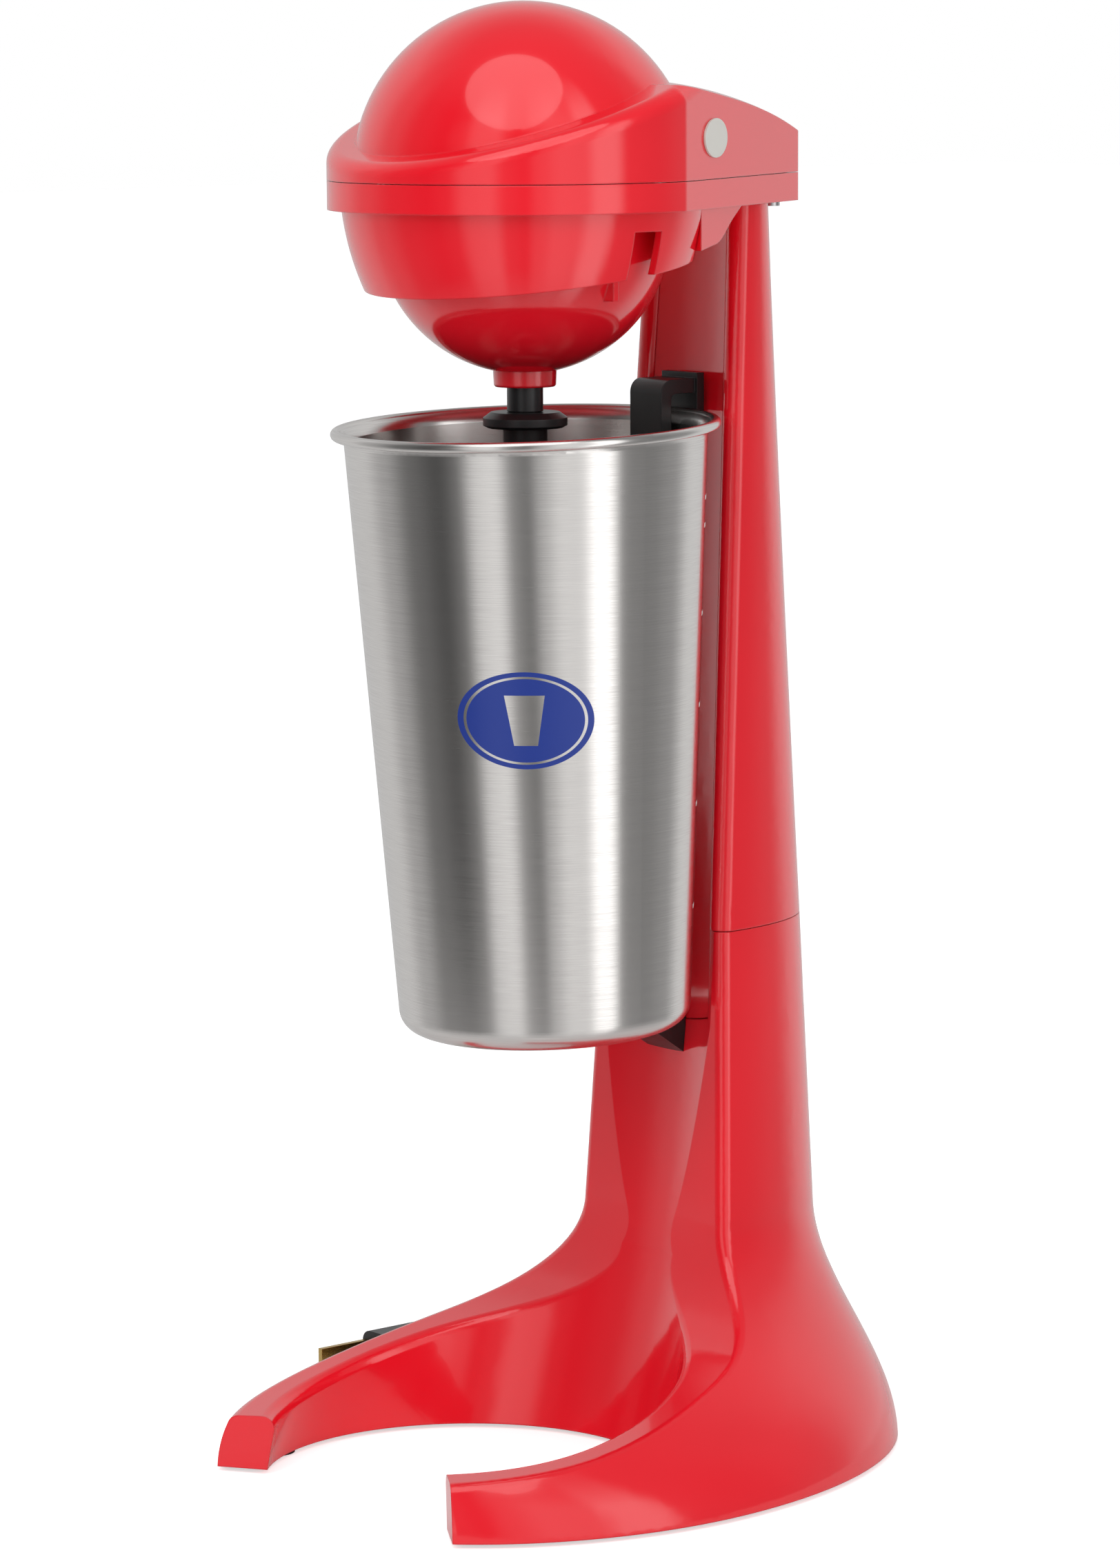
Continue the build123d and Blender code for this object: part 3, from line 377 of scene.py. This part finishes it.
def coil_points(low, high):
    """Rings of points along the wire of a helix that fills the box from low to high."""
    centre = (low + high) / 2
    radius = (high.x - low.x) / 2 - WIRE_R
    length = high.z - low.z - 2 * WIRE_R
    steps = COIL_TURNS * STEPS_PER_TURN
    points = []
    for i in range(steps + 1):
        share = i / steps
        turn = 2 * math.pi * COIL_TURNS * share
        out = Vector((math.cos(turn), math.sin(turn), 0))
        ring_centre = Vector((centre.x, centre.y, low.z + WIRE_R + length * share)) + out * radius
        for k in range(WIRE_SIDES):
            a = 2 * math.pi * k / WIRE_SIDES
            points.append(ring_centre + out * math.cos(a) * WIRE_R + Vector((0, 0, math.sin(a) * WIRE_R)))
    return points


def coil_faces():
    """Quads between neighbouring rings, and a cap on each end of the wire."""
    steps = COIL_TURNS * STEPS_PER_TURN
    faces = []
    for i in range(steps):
        for k in range(WIRE_SIDES):
            a = i * WIRE_SIDES + k
            b = i * WIRE_SIDES + (k + 1) % WIRE_SIDES
            faces.append((a, b, b + WIRE_SIDES, a + WIRE_SIDES))
    faces.append(tuple(range(WIRE_SIDES)))
    faces.append(tuple(steps * WIRE_SIDES + k for k in reversed(range(WIRE_SIDES))))
    return faces


def coil(name, low, high):
    """Closed helical spring that fills the box from low to high."""
    mesh = bpy.data.meshes.new(name)
    mesh.from_pydata(coil_points(low, high), [], coil_faces())
    build = bmesh.new()
    build.from_mesh(mesh)
    bmesh.ops.recalc_face_normals(build, faces=build.faces)
    build.to_mesh(mesh)
    build.free()
    mesh.polygons.foreach_set("use_smooth", [True] * len(mesh.polygons))
    mesh.materials.append(FINISHES["screw_steel"])
    made = bpy.data.objects.new(name, mesh)
    bpy.context.scene.collection.objects.link(made)
    return made


# The coil fills the spring's box and stays with the stand.
spring_low, spring_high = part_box("interlock_spring")
spring = coil("interlock_coil", spring_low, spring_high)
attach(spring, "stand")
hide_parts("interlock_spring")
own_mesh(spring)


# ---------------------------------------------------------------- stage
FLOOR_REACH = 8.0
# Light that the floor gives off to the camera alone.
FLOOR_LIFT = 0.6
# Distance from the origin where the floor starts to drop out of reflections, and where it is gone.
MIRROR_START, MIRROR_END = 0.16, 0.42


def floor_finish():
    g = Finish("floor")
    tone = g.noise(g.place, scale=3.0, detail=2.0)
    # the camera sees the table lifted towards white; the object is lit by the table's own grey
    g.set(Base_Color=g.mixed(tone, grey(0.93), grey(0.95)), Roughness=0.6, Specular_IOR_Level=0.2,
          Emission_Color=grey(1.0),
          Emission_Strength=g.calc("MULTIPLY", g.ray("Is Camera Ray"), FLOOR_LIFT))
    # away from the feet the object mirrors the studio's walls, as over a small table
    away = g.node("ShaderNodeVectorMath", operation="LENGTH")
    g.link(g.place, away.inputs[0])
    missing = g.span(away.outputs["Value"], MIRROR_START, MIRROR_END)
    table = g.node("ShaderNodeMixShader")
    g.link(g.calc("MULTIPLY", missing, g.ray("Is Glossy Ray")), table.inputs[0])
    g.link(g.shader.outputs[0], table.inputs[1])
    g.link(g.node("ShaderNodeBsdfTransparent").outputs[0], table.inputs[2])
    g.link(table.outputs[0], g.surface)
    return g.material


def make_floor():
    mesh = bpy.data.meshes.new("floor")
    corners = [(-FLOOR_REACH, -FLOOR_REACH, 0), (FLOOR_REACH, -FLOOR_REACH, 0),
               (FLOOR_REACH, FLOOR_REACH, 0), (-FLOOR_REACH, FLOOR_REACH, 0)]
    mesh.from_pydata(corners, [], [(0, 1, 2, 3)])
    mesh.materials.append(floor_finish())
    floor = bpy.data.objects.new("floor", mesh)
    bpy.context.scene.collection.objects.link(floor)


# ---------------------------------------------------------------- room
# Degrees round from the mixer's front.
CAMERA_AZIMUTH = 49.9
# How much of the room's brightness reaches the object; the camera sees all of it.
ROOM_LEVEL = 0.64
# Tall soft boxes and dark cards round the object: bearing from the camera in degrees, brightness.
STUDIO = ((-125, 1.2), (-104, 0.8), (-80, 0.3), (-58, 0.15), (-46, 0.3), (-32, 1.5), (-20, 1.7),
          (-9, 0.5), (1, 0.3), (10, 1.0), (22, 1.6), (36, 1.5), (45, 3.0), (55, 3.0), (64, 0.5),
          (85, 0.42), (108, 0.6), (130, 1.3))
OPPOSITE_LEVEL = 0.9
# The walls fade into the ceiling between these heights on a sphere of radius 1.
WALL_TOP, CEILING_START = 0.6, 0.9
CEILING_LEVEL = 0.5


def wall_ramp(g, bearing):
    """The studio's brightness by bearing, where 0 and 1 are both the bearing opposite the camera."""
    ramp = g.node("ShaderNodeValToRGB")
    ramp.color_ramp.interpolation = "EASE"
    stops = ramp.color_ramp.elements
    stops[0].color = stops[1].color = grey(OPPOSITE_LEVEL)
    for degrees, level in STUDIO:
        stops.new((degrees + 180) / 360).color = grey(level)
    g.link(bearing, ramp.inputs[0])
    return ramp.outputs[0]


def make_world():
    """A room whose walls carry the soft boxes; the camera itself sees plain white."""
    room = bpy.data.worlds.new("studio")
    bpy.context.scene.world = room
    room.use_nodes = True
    g = Nodes(room.node_tree)
    turn = g.node("ShaderNodeVectorRotate", rotation_type="Z_AXIS")
    turn.inputs["Angle"].default_value = math.radians(90 - CAMERA_AZIMUTH)
    g.link(g.node("ShaderNodeTexCoord").outputs["Generated"], turn.inputs["Vector"])
    x, y, z = g.axes(turn.outputs[0])
    walls = wall_ramp(g, g.calc("MULTIPLY_ADD", g.calc("ARCTAN2", y, x), 1 / (2 * math.pi), 0.5))
    lit = g.mixed(g.span(z, WALL_TOP, CEILING_START), walls, grey(CEILING_LEVEL))
    camera_ray = g.ray("Is Camera Ray")
    colour, strength = g.tree.nodes["Background"].inputs[:2]
    g.link(g.mixed(camera_ray, lit, grey(1.0)), colour)
    g.link(g.span(camera_ray, 0.0, 1.0, ROOM_LEVEL, 1.0), strength)


# ---------------------------------------------------------------- lamps
LAMP_AIM = (0.0, 0.0, 0.19)


def around(angle, distance, height):
    """A point at a plan angle from the camera's own bearing, to the right when positive."""
    bearing = math.radians(CAMERA_AZIMUTH + angle)
    return (math.sin(bearing) * distance, -math.cos(bearing) * distance, height)


def soft_box(name, place, across, power, mirrored):
    """A round lamp aimed at the object's middle; mirrored lamps show in the object's reflections."""
    light = bpy.data.lights.new(name, "AREA")
    light.shape = "DISK"
    light.size = across
    light.energy = power
    lamp = bpy.data.objects.new(name, light)
    bpy.context.scene.collection.objects.link(lamp)
    lamp.location = place
    lamp.rotation_mode = "QUATERNION"
    lamp.visible_glossy = mirrored
    lamp.rotation_quaternion = (Vector(LAMP_AIM) - Vector(place)).to_track_quat("-Z", "Y")


# ---------------------------------------------------------------- camera
# Degrees above level, and degrees of roll.
CAMERA_PITCH = 8.13
CAMERA_ROLL = -0.34
CAMERA_DISTANCE = 1370.1 * MM
# Millimetres.
CAMERA_LENS = 125.7
SENSOR_WIDTH = 36.0
# The point looked at, to the right of the spindle axis and above the bench.
LOOK_RIGHT = 8.08 * MM
LOOK_Z = 174.82 * MM


def make_camera():
    azimuth = math.radians(CAMERA_AZIMUTH)
    pitch = math.radians(CAMERA_PITCH)
    roll = math.radians(CAMERA_ROLL)
    level = math.cos(pitch)
    back = Vector((math.sin(azimuth) * level, -math.cos(azimuth) * level, math.sin(pitch)))
    right = Vector((math.cos(azimuth), math.sin(azimuth), 0))
    up = back.cross(right)
    side = right * math.cos(roll) + up * math.sin(roll)
    top = up * math.cos(roll) - right * math.sin(roll)
    place = right * LOOK_RIGHT + Vector((0, 0, LOOK_Z)) + back * CAMERA_DISTANCE
    data = bpy.data.cameras.new("camera")
    data.lens = CAMERA_LENS
    data.sensor_width = SENSOR_WIDTH
    view = bpy.data.objects.new("camera", data)
    bpy.context.scene.collection.objects.link(view)
    view.matrix_world = Matrix.Translation(place) @ Matrix((side, top, back)).transposed().to_4x4()
    bpy.context.scene.camera = view


make_floor()
make_world()
soft_box("left_box", around(angle=-40, distance=1.5, height=0.9), across=0.7, power=4, mirrored=False)
soft_box("top_box", around(angle=-10, distance=0.75, height=1.5), across=1.5, power=8, mirrored=True)
make_camera()
bpy.context.scene.view_settings.view_transform = "Standard"
